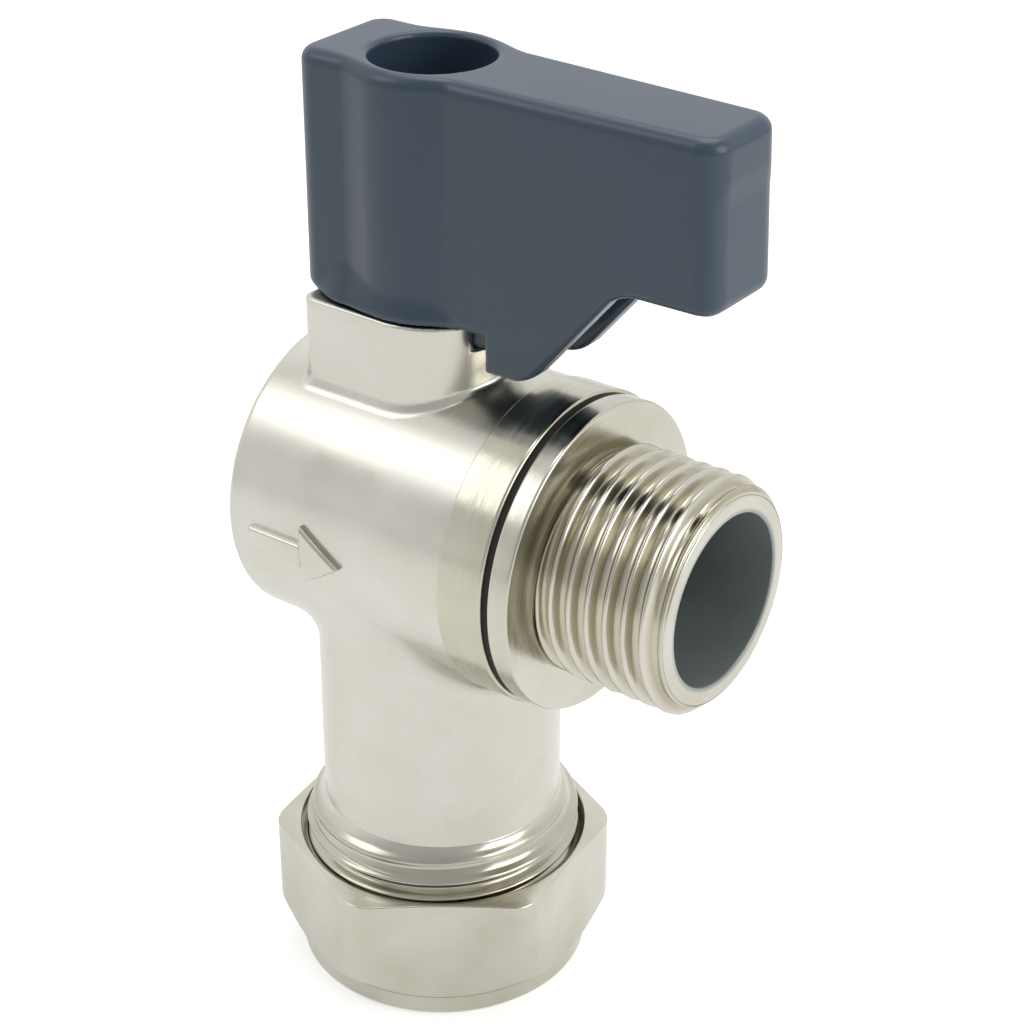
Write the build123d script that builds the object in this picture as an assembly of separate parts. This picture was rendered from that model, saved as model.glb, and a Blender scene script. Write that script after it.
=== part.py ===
from build123d import *
import os
from math import radians, tan

# Angled isolation valve with a quarter-turn lever.
# 22 mm compression inlet below, G1/2 male outlet to the side.
# Frame: +Z is the stem and inlet axis, +X the outlet axis, and the origin is the centre of the nut's foot.
# All sizes are in millimetres.

# Clearances
RUNNING = 0.05            # radial gap between a turning piece and its bore
SEATING = 0.05            # gap between pieces that are assembled to touch
TRAVEL = 0.3              # gap under a piece that sweeps over another

# Outlet axis and the ball with its seats, measured along X from the stem axis
OUTLET_HEIGHT = 48.6      # outlet axis above the foot of the nut
BALL_R = 9.5
BALL_CLEARANCE = 1.1      # ball to chamber wall
PORT_R = 5.5              # both legs of the ball's angled waterway
SEAT_BITE = 3.3           # each seat ring reaches this far back over the ball
SEAT_LENGTH = 3.7
SEAT_LIP = 0.4            # seat bore is this much wider than the port

# Forged body
BODY_WALL = 3.4           # around the ball chamber
BACK_WALL = 2.9           # closed end
BACK_EDGE = 0.6           # rounding of the closed end
COLLAR_RISE = 0.25        # turned collar at the open end, above the forging
COLLAR_LENGTH = 4.5
COLLAR_EDGE = 0.3
NOSE_LENGTH = 5.45        # threaded socket for the outlet connector
NOSE_WALL = 2.2           # collar outside that socket
LEG_R = 11.25
LEG_FILLET = 1.6          # leg into barrel
LEG_LIP = 0.55            # rim left between the inlet thread's crest and the olive's seat
LEG_THREAD_LENGTH = 8.05
LEG_SHOULDER = 2.7        # cone from the thread's crest up to the leg
LEG_THREAD_CHAMFER = 0.4
PIPE_DEPTH = 8.5          # pipe socket, mouth of the leg to its shoulder
WATERWAY_R = 7.5

# Boss that carries the stem, square behind and round in front
BOSS_RISE = 5.9           # top of the boss above the barrel
BOSS_R = 7.4              # round front, and half of the width
BOSS_BACK = 9.0           # flat back, from the stem axis
BOSS_CORNER = 1.2
BOSS_FILLET = 0.8
STOP_DEPTH = 2.2          # quarter-turn notch in the top of the boss
STOP_COLLAR_WALL = 1.05   # ring left standing round the stem

# Stem, put in from inside the chamber
STEM_R = 3.9
STEM_COLLAR_R = 5.4
STEM_COLLAR_T = 1.4
POCKET_RISE = 1.8         # collar pocket above the chamber
THRUST_WASHER_T = 0.6
O_RING_R = 0.65           # radius of the ring's section
O_RING_FIRST = 1.6        # lower groove above the pocket
O_RING_PITCH = 2.5
TONGUE_WIDTH = 3.0
TONGUE_LENGTH = 7.0
SLOT_DEPTH = 2.6          # in the top of the ball
DRIVE_FLATS = 5.6         # across the flats of the stem's head
DRIVE_HEIGHT = 7.5

# Lever handle
LEVER_HEIGHT = 21.2       # hub, underside to top
LEVER_END = 30.5          # tip of the lever, from the stem axis
LEVER_WIDTH = 11.2        # arm where it leaves the hub
TIP_WIDTH = 9.4           # arm at its tip
ARM_DEPTH = 14.3          # lever at its tip, top to bottom
HUB_R = 7.0
TAIL_BACK = 10.4          # square tail behind the hub
TAIL_WIDTH = 11.6
SKIRT_DROP = 3.4          # stop skirt below the hub
SKIRT_INNER = 9.0         # its inner face, from the stem axis
SKIRT_FOOT = 4.2          # its flat foot, along the lever
SKIRT_SLOPE = 50          # degrees, foot up to the arm
FLARE_HEIGHT = 4.5        # foot of the hub, flared to the outline of the boss
FLARE_ANGLE = 20          # degrees, the flare from upright
LEVER_CORNER = 2.2        # upright corners of the tip and the tail
VALLEY_R = 0.8            # hub into the sides
LEVER_EDGE = 1.0          # rounding of the top edge
ARM_EDGE = 1.4            # rounding of the tip's lower edge
KNEE_R = 1.2              # slope into the foot and into the arm
LEVER_WALL = 2.0          # sides of the hollow under the arm
LEVER_ROOF = 2.5
LUG_WIDTH = 6.4           # stop lug in the notch of the boss
RECESS_R = 5.36           # screw recess in the top
RECESS_EDGE = 0.4
WEB_T = 2.8               # floor of the recess, clamped by the screw

# Handle screw with its spring washer
SCREW_R = 2.0
SCREW_LENGTH = 10.0
SCREW_HEAD_R = 3.8
SCREW_HEAD_T = 2.7
CROSS_WIDTH = 1.1
CROSS_DEPTH = 1.6
WASHER_R = 4.1
WASHER_T = 0.9
WASHER_SPLIT = 0.8

# Outlet connector
GASKET_T = 0.5
GASKET_INSET = 0.4        # gasket rim inside the collar
FLANGE_INSET = 0.25       # flange rim inside the collar
FLANGE_T = 2.05
FLANGE_EDGE = 0.3
OUTLET_THREAD_R = 10.48   # G1/2, 20.955 mm across the crests
OUTLET_THREAD_LENGTH = 12.45
OUTLET_CHAMFER = 1.2
OUTLET_BORE_R = 7.68
LIP_T = 1.6               # lip that holds the seat

# Compression joint for a 22 mm pipe
PIPE_R = 11.0
PIPE_CLEARANCE = 0.1
NUT_FLATS = 28.5
NUT_HEIGHT = 13.5
NUT_FLOOR = 3.2
NUT_CORNER = 3.0          # rounding of the six upright corners
NUT_TURN = 37.0           # degrees, a corner from the outlet axis, as it was left
NUT_MOUTH = 0.6           # countersink where the leg enters
NUT_CROWN = 0.3           # crown circle inside the flats
CROWN_ANGLE = 8           # degrees, top chamfer
FOOT_INSET = 0.4          # turned foot inside the flats
FOOT_HEIGHT = 2.4
FOOT_EDGE = 0.7
OLIVE_T = 1.3
OLIVE_EDGE = 0.25         # blunt rim at each end
OLIVE_LAND = 2.6          # straight middle
OLIVE_TAPER = 2.0         # length over thickness of its upper cone

# Worked-out places along the outlet axis
CHAMBER_R = BALL_R + BALL_CLEARANCE
BODY_R = CHAMBER_R + BODY_WALL
COLLAR_R = BODY_R + COLLAR_RISE
NOSE_R = COLLAR_R - NOSE_WALL
FLANGE_R = COLLAR_R - FLANGE_INSET
SEAT_R = PORT_R + SEAT_LIP
SEAT_FACE = BALL_R - SEAT_BITE
CHAMBER_END = SEAT_FACE + SEAT_LENGTH + SEATING
BODY_BACK = -CHAMBER_END - BACK_WALL
BODY_FRONT = CHAMBER_END + NOSE_LENGTH
FLANGE_BACK = BODY_FRONT + GASKET_T
FLANGE_FRONT = FLANGE_BACK + FLANGE_T
OUTLET_FACE = FLANGE_FRONT + OUTLET_THREAD_LENGTH

# Worked-out heights
PIPE_HOLE_R = PIPE_R + PIPE_CLEARANCE
OLIVE_BORE_R = PIPE_HOLE_R + SEATING
OLIVE_FOOT = NUT_FLOOR + OLIVE_EDGE + 3 * SEATING
OLIVE_WAIST = OLIVE_FOOT + OLIVE_T - OLIVE_EDGE
LEG_END = OLIVE_WAIST + OLIVE_LAND
LEG_THREAD_TOP = LEG_END + LEG_THREAD_LENGTH
LEG_MOUTH_R = OLIVE_BORE_R + OLIVE_T + 2 * SEATING
LEG_THREAD_R = LEG_MOUTH_R + LEG_LIP
POCKET_TOP = OUTLET_HEIGHT + CHAMBER_R + POCKET_RISE
BARREL_TOP = OUTLET_HEIGHT + BODY_R
BOSS_TOP = BARREL_TOP + BOSS_RISE
STOP_FLOOR = BOSS_TOP - STOP_DEPTH
STOP_COLLAR_R = STEM_R + RUNNING + STOP_COLLAR_WALL
LEVER_FOOT = BOSS_TOP + TRAVEL
LEVER_TOP = LEVER_FOOT + LEVER_HEIGHT
STEM_TOP = BOSS_TOP + DRIVE_HEIGHT
WEB_FOOT = STEM_TOP + SEATING
RECESS_FLOOR = WEB_FOOT + WEB_T

ON_FOOT = (Align.CENTER, Align.CENTER, Align.MIN)


def turned_about_x(*points):
    """Solid of revolution about the outlet axis, from (x, radius) points."""
    outline = Plane.XZ * make_face(Polyline(*points, close=True))
    return Pos(0, 0, OUTLET_HEIGHT) * revolve(outline, Axis.X)


def turned_about_z(*points):
    """Solid of revolution about the stem axis, from (radius, z) points."""
    return revolve(Plane.XZ * make_face(Polyline(*points, close=True)), Axis.Z)


def upright_rod(radius, foot, top):
    """Plain cylinder on the stem axis between two heights."""
    return Pos(0, 0, foot) * Cylinder(radius, top - foot, align=ON_FOOT)


def outlet_rod(radius, start, end):
    """Plain cylinder on the outlet axis between two places along X."""
    return turned_about_x((start, 0), (start, radius), (end, radius), (end, 0))


def block(x, y, z):
    """Box from three (low, high) pairs."""
    size = [high - low for low, high in (x, y, z)]
    return Pos(x[0], y[0], z[0]) * Box(*size, align=Align.MIN)


def boss_outline():
    """Boss seen from above: round towards the outlet, square with soft corners behind."""
    square = Pos(-BOSS_BACK / 2, 0) * Rectangle(BOSS_BACK, 2 * BOSS_R)
    square = fillet(square.vertices().group_by(Axis.X)[0], BOSS_CORNER)
    return Circle(BOSS_R) + square


def joined_edges(solid, above):
    """The curves where leg or boss runs into the barrel, on one side of the outlet axis."""
    curves = solid.edges().filter_by(lambda edge: edge.geom_type not in (GeomType.LINE, GeomType.CIRCLE))
    return [edge for edge in curves if (edge.center().Z > OUTLET_HEIGHT) == above]


def stop_notch():
    """Quarter-turn space for the lever's lug, with a stop wall at each end of the travel."""
    wall = -LUG_WIDTH / 2 - SEATING
    reach = 2 * BOSS_BACK
    swept = block((wall, reach), (wall, reach), (STOP_FLOOR, BOSS_TOP))
    return swept - upright_rod(STOP_COLLAR_R, STOP_FLOOR, BOSS_TOP)


def valve_body():
    """Forged brass body: barrel, leg and boss in one, then bored and faced."""
    barrel = outlet_rod(BODY_R, BODY_BACK, BODY_FRONT)
    barrel = fillet(barrel.edges().group_by(Axis.X)[0], BACK_EDGE)
    forging = barrel + upright_rod(LEG_R, LEG_END, OUTLET_HEIGHT)
    forging = fillet(joined_edges(forging, above=False), LEG_FILLET)
    forging += Pos(0, 0, OUTLET_HEIGHT) * extrude(boss_outline(), BOSS_TOP - OUTLET_HEIGHT)
    forging = fillet(joined_edges(forging, above=True), BOSS_FILLET)
    collar = outlet_rod(COLLAR_R, BODY_FRONT - COLLAR_LENGTH, BODY_FRONT)
    shoulder_top = LEG_THREAD_TOP + LEG_SHOULDER
    thread = turned_about_z(
        (0, LEG_END), (LEG_THREAD_R - LEG_THREAD_CHAMFER, LEG_END),
        (LEG_THREAD_R, LEG_END + LEG_THREAD_CHAMFER), (LEG_THREAD_R, LEG_THREAD_TOP),
        (LEG_R, shoulder_top), (0, shoulder_top))
    forging += chamfer(collar.edges().filter_by(GeomType.CIRCLE), COLLAR_EDGE)
    forging += thread

    mouth_rise = (LEG_MOUTH_R - PIPE_HOLE_R) * OLIVE_TAPER
    socket = turned_about_z(
        (0, LEG_END), (LEG_MOUTH_R, LEG_END), (PIPE_HOLE_R, LEG_END + mouth_rise),
        (PIPE_HOLE_R, LEG_END + PIPE_DEPTH), (0, LEG_END + PIPE_DEPTH))
    forging -= socket
    forging -= upright_rod(WATERWAY_R, LEG_END, OUTLET_HEIGHT)
    forging -= outlet_rod(CHAMBER_R, -CHAMBER_END, BODY_FRONT)
    forging -= outlet_rod(NOSE_R + SEATING, CHAMBER_END - SEATING, BODY_FRONT)
    forging -= upright_rod(STEM_COLLAR_R + RUNNING, OUTLET_HEIGHT, POCKET_TOP)
    forging -= upright_rod(STEM_R + RUNNING, OUTLET_HEIGHT, BOSS_TOP)
    return forging - stop_notch()


def outlet_connector():
    """Turned outlet: nose screwed into the body, flange, and the male pipe thread."""
    nose = CHAMBER_END
    outside = turned_about_x(
        (nose, 0), (nose, NOSE_R), (FLANGE_BACK, NOSE_R), (FLANGE_BACK, FLANGE_R),
        (FLANGE_FRONT - FLANGE_EDGE, FLANGE_R), (FLANGE_FRONT, FLANGE_R - FLANGE_EDGE),
        (FLANGE_FRONT, OUTLET_THREAD_R), (OUTLET_FACE - OUTLET_CHAMFER, OUTLET_THREAD_R),
        (OUTLET_FACE, OUTLET_THREAD_R - OUTLET_CHAMFER), (OUTLET_FACE, 0))
    outside -= outlet_rod(SEAT_R, nose, OUTLET_FACE)
    return outside - outlet_rod(OUTLET_BORE_R, nose + LIP_T, OUTLET_FACE)


def connector_gasket():
    """Flat fibre washer between the body and the flange."""
    ring = outlet_rod(COLLAR_R - GASKET_INSET, BODY_FRONT, FLANGE_BACK)
    return ring - outlet_rod(NOSE_R + 2 * SEATING, BODY_FRONT, FLANGE_BACK)


def ball():
    """Plated ball with a waterway that turns from the inlet to the outlet, and the stem's slot on top."""
    centre = Pos(0, 0, OUTLET_HEIGHT)
    solid = centre * Sphere(BALL_R)
    solid -= outlet_rod(PORT_R, 0, BALL_R)
    solid -= upright_rod(PORT_R, OUTLET_HEIGHT - BALL_R, OUTLET_HEIGHT)
    solid -= centre * Sphere(PORT_R)
    half = TONGUE_WIDTH / 2 + RUNNING
    top = OUTLET_HEIGHT + BALL_R
    return solid - block((-BALL_R, BALL_R), (-half, half), (top - SLOT_DEPTH, top + SLOT_DEPTH))


def seat(side):
    """Seat ring hollowed to the ball, on the outlet side (1) or the closed side (-1)."""
    near, far = sorted((side * SEAT_FACE, side * (SEAT_FACE + SEAT_LENGTH)))
    height = CHAMBER_R - SEATING - SEAT_R
    section = Pos(near, SEAT_R) * Rectangle(far - near, height, align=Align.MIN) - Circle(BALL_R + RUNNING)
    return Pos(0, 0, OUTLET_HEIGHT) * revolve(Plane.XZ * section, Axis.X)


def o_ring_height(number):
    """Height of a stem groove's middle, counted from the lower one."""
    return POCKET_TOP + O_RING_FIRST + number * O_RING_PITCH


def stem():
    """Turned stem: tongue, thrust collar, two grooves and a flatted head with a tapped hole."""
    collar_top = POCKET_TOP - THRUST_WASHER_T - 2 * SEATING
    collar_foot = collar_top - STEM_COLLAR_T
    rod = upright_rod(STEM_COLLAR_R, collar_foot, collar_top) + upright_rod(STEM_R, collar_foot, STEM_TOP)
    for number in range(2):
        groove = upright_rod(STEM_R, o_ring_height(number) - O_RING_R, o_ring_height(number) + O_RING_R)
        rod -= groove - upright_rod(STEM_R + RUNNING - 2 * O_RING_R - 2 * SEATING,
                                    o_ring_height(number) - O_RING_R, o_ring_height(number) + O_RING_R)
    for side in (-1, 1):
        flat = sorted((side * DRIVE_FLATS / 2, side * 2 * STEM_R))
        rod -= block((-STEM_R, STEM_R), flat, (BOSS_TOP, STEM_TOP))
    tongue_foot = OUTLET_HEIGHT + BALL_R - SLOT_DEPTH + SEATING
    half = TONGUE_LENGTH / 2
    tongue = block((-half, half), (-TONGUE_WIDTH / 2, TONGUE_WIDTH / 2), (tongue_foot, collar_foot))
    hole_foot = RECESS_FLOOR + WASHER_T - SCREW_LENGTH - SEATING
    return rod + tongue - upright_rod(SCREW_R + SEATING, hole_foot, STEM_TOP)


def stem_thrust_washer():
    """Low-friction washer between the stem's collar and the roof of its pocket."""
    foot = POCKET_TOP - THRUST_WASHER_T - SEATING
    ring = upright_rod(STEM_COLLAR_R, foot, foot + THRUST_WASHER_T)
    return ring - upright_rod(STEM_R + RUNNING, foot, foot + THRUST_WASHER_T)


def stem_o_ring(number):
    """Rubber ring in one of the stem's grooves."""
    section_r = O_RING_R - SEATING / 2
    ring_r = STEM_R + RUNNING - SEATING / 2 - O_RING_R
    return Pos(0, 0, o_ring_height(number)) * Torus(ring_r, section_r)


def lever_plan():
    """Lever seen from above: round hub, square tail and straight arm."""
    root, tip = LEVER_WIDTH / 2, TIP_WIDTH / 2
    arm = make_face(Polyline((0, -root), (LEVER_END, -tip), (LEVER_END, tip), (0, root), close=True))
    tail = Pos(-TAIL_BACK / 2, 0) * Rectangle(TAIL_BACK, TAIL_WIDTH)
    plan = arm + tail + Circle(HUB_R)
    plan = fillet(plan.vertices().filter_by(lambda corner: abs(corner.X) < HUB_R), VALLEY_R)
    ends = plan.vertices().group_by(Axis.X)
    return fillet(ends[0] + ends[-1], LEVER_CORNER)


def lever_side():
    """Lever seen from the side: hub and tail, stop skirt, sloped underside and arm."""
    arm_foot = LEVER_TOP - ARM_DEPTH
    skirt_foot = LEVER_FOOT - SKIRT_DROP
    toe = SKIRT_INNER + SKIRT_FOOT
    knee = toe + (arm_foot - skirt_foot) / tan(radians(SKIRT_SLOPE))
    side = make_face(Polyline(
        (-TAIL_BACK, LEVER_FOOT), (SKIRT_INNER, LEVER_FOOT), (SKIRT_INNER, skirt_foot), (toe, skirt_foot),
        (knee, arm_foot), (LEVER_END, arm_foot), (LEVER_END, LEVER_TOP), (-TAIL_BACK, LEVER_TOP), close=True))
    tip = side.vertices().group_by(Axis.X)[-1].sort_by(Axis.Y)[0]
    side = fillet(tip, ARM_EDGE)
    bends = [(toe, skirt_foot), (knee, arm_foot)]
    corners = [side.vertices().sort_by_distance(bend)[0] for bend in bends]
    return fillet(corners, KNEE_R)


def stem_head(gap):
    """The stem's flatted head, wider all round by a gap, from under the hub to the web."""
    flats = DRIVE_FLATS / 2 + gap
    reach = STEM_R + gap
    flatted = block((-reach, reach), (-flats, flats), (LEVER_FOOT, WEB_FOOT))
    return upright_rod(reach, LEVER_FOOT, WEB_FOOT) & flatted


def lever_handle():
    """Moulded lever: hub over the stem, hollow arm, stop skirt with its lug, and a recess for the screw."""
    skirt_foot = LEVER_FOOT - SKIRT_DROP
    upright = Pos(0, 0, skirt_foot) * extrude(lever_plan(), LEVER_TOP - skirt_foot)
    lever = upright & extrude(Plane.XZ * lever_side(), TAIL_WIDTH + HUB_R, both=True)
    lever = fillet(lever.faces().sort_by(Axis.Z)[-1].outer_wire().edges(), LEVER_EDGE)
    lever += Pos(0, 0, LEVER_FOOT) * extrude(boss_outline(), FLARE_HEIGHT, taper=FLARE_ANGLE)

    inside = TIP_WIDTH / 2 - LEVER_WALL
    hollow = block(
        (SKIRT_INNER + LEVER_WALL, LEVER_END - LEVER_WALL), (-inside, inside),
        (skirt_foot - LEVER_WALL, LEVER_TOP - LEVER_ROOF))
    lever -= fillet(hollow.edges().filter_by(Axis.Z), VALLEY_R)
    lug = block(
        (STOP_COLLAR_R + TRAVEL, SKIRT_INNER + LEVER_WALL), (-LUG_WIDTH / 2, LUG_WIDTH / 2),
        (STOP_FLOOR + TRAVEL, LEVER_FOOT + TRAVEL))
    lever += lug
    lever -= stem_head(SEATING)
    lever -= upright_rod(SCREW_R + TRAVEL, WEB_FOOT, RECESS_FLOOR)
    recess = turned_about_z(
        (0, RECESS_FLOOR), (RECESS_R, RECESS_FLOOR), (RECESS_R, LEVER_TOP - RECESS_EDGE),
        (RECESS_R + RECESS_EDGE, LEVER_TOP), (0, LEVER_TOP))
    return lever - recess


def handle_spring_washer():
    """Split spring washer under the screw's head."""
    ring = upright_rod(WASHER_R, RECESS_FLOOR, RECESS_FLOOR + WASHER_T)
    ring -= upright_rod(SCREW_R + TRAVEL / 2, RECESS_FLOOR, RECESS_FLOOR + WASHER_T)
    half = WASHER_SPLIT / 2
    return ring - block((0, WASHER_R), (-half, half), (RECESS_FLOOR, RECESS_FLOOR + WASHER_T))


def handle_screw():
    """Pan-head screw with a cross recess, through the lever's web into the stem."""
    seat_height = RECESS_FLOOR + WASHER_T
    head_top = seat_height + SCREW_HEAD_T
    head = upright_rod(SCREW_HEAD_R, seat_height, head_top)
    head = fillet(head.edges().group_by(Axis.Z)[-1], SCREW_HEAD_T / 3)
    half = CROSS_WIDTH / 2
    reach = SCREW_HEAD_R / 2
    for x, y in ((half, reach), (reach, half)):
        head -= block((-x, x), (-y, y), (head_top - CROSS_DEPTH, head_top))
    return head + upright_rod(SCREW_R, seat_height - SCREW_LENGTH, seat_height)


def compression_nut():
    """Hexagon nut with rounded corners, turned foot and crown, and the cone that closes on the olive."""
    flats = NUT_FLATS / 2
    hexagon = RegularPolygon(flats, 6, major_radius=False)
    prism = Rot(0, 0, NUT_TURN) * extrude(fillet(hexagon.vertices(), NUT_CORNER), NUT_HEIGHT)
    foot_r = flats - FOOT_INSET
    crown_r = flats - NUT_CROWN
    corner_r = 2 * flats
    crown_drop = (corner_r - crown_r) * tan(radians(CROWN_ANGLE))
    envelope = turned_about_z(
        (0, 0), (foot_r - FOOT_EDGE, 0), (foot_r, FOOT_EDGE), (foot_r, FOOT_HEIGHT),
        (corner_r, FOOT_HEIGHT + corner_r - foot_r), (corner_r, NUT_HEIGHT - crown_drop),
        (crown_r, NUT_HEIGHT), (0, NUT_HEIGHT))
    bore_r = LEG_THREAD_R + RUNNING
    bore = turned_about_z(
        (0, 0), (PIPE_HOLE_R, 0), (PIPE_HOLE_R, NUT_FLOOR), (bore_r, NUT_FLOOR + bore_r - PIPE_HOLE_R),
        (bore_r, NUT_HEIGHT - NUT_MOUTH), (bore_r + NUT_MOUTH, NUT_HEIGHT), (0, NUT_HEIGHT))
    return (prism & envelope) - bore


def olive():
    """Soft brass ring that the nut squeezes onto the pipe, a cone at each end."""
    rim_r = OLIVE_BORE_R + OLIVE_EDGE
    outer_r = OLIVE_BORE_R + OLIVE_T
    top = LEG_END + (OLIVE_T - OLIVE_EDGE) * OLIVE_TAPER
    return turned_about_z(
        (OLIVE_BORE_R, OLIVE_FOOT), (rim_r, OLIVE_FOOT), (outer_r, OLIVE_WAIST), (outer_r, LEG_END),
        (rim_r, top), (OLIVE_BORE_R, top))


PIECES = {
    "valve_body": valve_body(),
    "outlet_connector": outlet_connector(),
    "connector_gasket": connector_gasket(),
    "ball": ball(),
    "outlet_seat": seat(1),
    "rear_seat": seat(-1),
    "stem": stem(),
    "stem_thrust_washer": stem_thrust_washer(),
    "stem_o_ring_lower": stem_o_ring(0),
    "stem_o_ring_upper": stem_o_ring(1),
    "lever_handle": lever_handle(),
    "handle_spring_washer": handle_spring_washer(),
    "handle_screw": handle_screw(),
    "compression_nut": compression_nut(),
    "olive": olive(),
}

os.makedirs("parts", exist_ok=True)
for name, piece in PIECES.items():
    export_step(piece, f"parts/{name}.step")
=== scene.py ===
import bpy
import numpy as np
from mathutils import Matrix, Vector


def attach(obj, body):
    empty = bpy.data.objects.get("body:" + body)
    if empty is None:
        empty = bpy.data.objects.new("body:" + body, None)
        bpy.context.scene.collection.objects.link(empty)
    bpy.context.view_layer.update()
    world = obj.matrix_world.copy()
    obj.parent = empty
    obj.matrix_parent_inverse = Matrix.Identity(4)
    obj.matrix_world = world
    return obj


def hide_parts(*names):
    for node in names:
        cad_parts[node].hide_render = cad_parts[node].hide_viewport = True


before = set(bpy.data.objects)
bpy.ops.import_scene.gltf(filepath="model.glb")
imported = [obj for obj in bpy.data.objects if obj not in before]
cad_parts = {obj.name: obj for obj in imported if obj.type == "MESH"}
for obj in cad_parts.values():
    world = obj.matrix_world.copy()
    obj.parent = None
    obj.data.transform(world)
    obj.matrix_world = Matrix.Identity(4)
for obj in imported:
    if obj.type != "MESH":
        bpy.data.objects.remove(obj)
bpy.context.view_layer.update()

# Valve body. One hot brass forging: barrel, leg and stem boss, rounded where the dies were rounded, then
# bored out and turned to a bright collar at its mouth. It is nickel plated over a fine tumbled surface.

MM = 0.001
# A noise pattern lies mostly between these two.
NOISE_LOW, NOISE_HIGH = 0.3, 0.7
OUTLET_HEIGHT = 48.6
BARREL_R, BARREL_BACK, BARREL_FRONT = 14.0, -12.85, 15.0
BARREL_EDGE = 0.6
LEG_R, LEG_FILLET = 11.25, 1.8
BOSS_R, BOSS_BACK, BOSS_CORNER, BOSS_TOP, BOSS_FILLET = 7.4, 9.0, 1.2, 68.5, 0.7
NOTCH_WALL, NOTCH_FLOOR, NOTCH_RING_R = -3.25, 66.3, 5.0
# The pocket is a little wider than the solid's, so that the blunt inner corners of the mesh clear the washer.
STEM_BORE_R, POCKET_R, POCKET_TOP = 3.95, 5.6, 61.15
CHAMBER_R, CHAMBER_BACK = 10.6, -9.95
NOSE_SOCKET_R, NOSE_SOCKET_BACK = 12.1, 9.9
WATERWAY_R = 7.5
BORED_EDGE, MILLED_EDGE = 0.3, 0.22
LEG_CUT = 16.6
FORGING_CELL = 0.32


def linear(hex_colour):
    """sRGB hex to the linear colour that shader sockets take."""
    srgb = np.array([int(hex_colour[i:i + 2], 16) for i in (1, 3, 5)]) / 255
    low, high = srgb / 12.92, ((srgb + 0.055) / 1.055) ** 2.4
    return (*np.where(srgb <= 0.04045, low, high), 1.0)


def add(tree, kind, inputs, **settings):
    """Adds a node with its settings, and sets or links its inputs by name or number."""
    node = tree.nodes.new(kind)
    for name, value in settings.items():
        setattr(node, name, value)
    for name, value in inputs.items():
        if isinstance(value, bpy.types.NodeSocket):
            tree.links.new(value, node.inputs[name])
        else:
            node.inputs[name].default_value = value
    return node


def new_finish(name):
    """New material, with its node tree and its surface node."""
    material = bpy.data.materials.new(name)
    material.use_nodes = True
    return material, material.node_tree, material.node_tree.nodes["Principled BSDF"]


def round_cross(a, b, radius):
    """Where two solids overlap, with a rounded outer edge."""
    corner = np.hypot(np.maximum(radius + a, 0), np.maximum(radius + b, 0))
    return np.minimum(-radius, np.maximum(a, b)) + corner


def round_join(a, b, radius):
    """Two solids together, with a fillet in the inner corner."""
    return -round_cross(-a, -b, radius)


def round_cut(a, b, radius):
    """The first solid without the second, with a rounded edge."""
    return round_cross(a, -b, radius)


def boss_outline(x, y):
    """Distance from the boss's outline seen from above: round towards the outlet, square behind."""
    side = np.abs(y) - BOSS_R
    square = round_cross(side, -BOSS_BACK - x, BOSS_CORNER)
    return np.where(x > 0, np.hypot(x, y) - BOSS_R, square)


def forging(x, y, z):
    """Distance from the forged and bored body, negative inside the metal."""
    barrel_r = np.hypot(y, z - OUTLET_HEIGHT)
    leg_r = np.hypot(x, y)
    barrel = round_cross(barrel_r - BARREL_R, BARREL_BACK - x, BARREL_EDGE)
    barrel = np.maximum(barrel, x - BARREL_FRONT)
    leg = np.maximum.reduce([leg_r - LEG_R, LEG_CUT - z, z - OUTLET_HEIGHT])
    boss = round_cross(boss_outline(x, y), z - BOSS_TOP, MILLED_EDGE)
    boss = np.maximum(boss, OUTLET_HEIGHT - z)
    metal = round_join(barrel, leg, LEG_FILLET)
    metal = round_join(metal, boss, BOSS_FILLET)
    hollow = np.minimum.reduce([
        np.maximum(barrel_r - CHAMBER_R, CHAMBER_BACK - x),
        np.maximum(barrel_r - NOSE_SOCKET_R, NOSE_SOCKET_BACK - x),
        np.maximum(leg_r - WATERWAY_R, z - OUTLET_HEIGHT),
        np.maximum.reduce([leg_r - POCKET_R, z - POCKET_TOP, OUTLET_HEIGHT - z]),
        np.maximum(leg_r - STEM_BORE_R, OUTLET_HEIGHT - z)])
    notch = np.maximum.reduce([NOTCH_WALL - x, NOTCH_WALL - y, NOTCH_FLOOR - z, NOTCH_RING_R - leg_r])
    return round_cut(round_cut(metal, hollow, BORED_EDGE), notch, MILLED_EDGE)


def slope_of(field, points, step):
    """How a distance field rises along each axis at a list of points."""
    shifts = np.eye(3) * step
    rises = [field(*(points + shift).T) - field(*(points - shift).T) for shift in shifts]
    return np.stack(rises, axis=1) / (2 * step)


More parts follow.
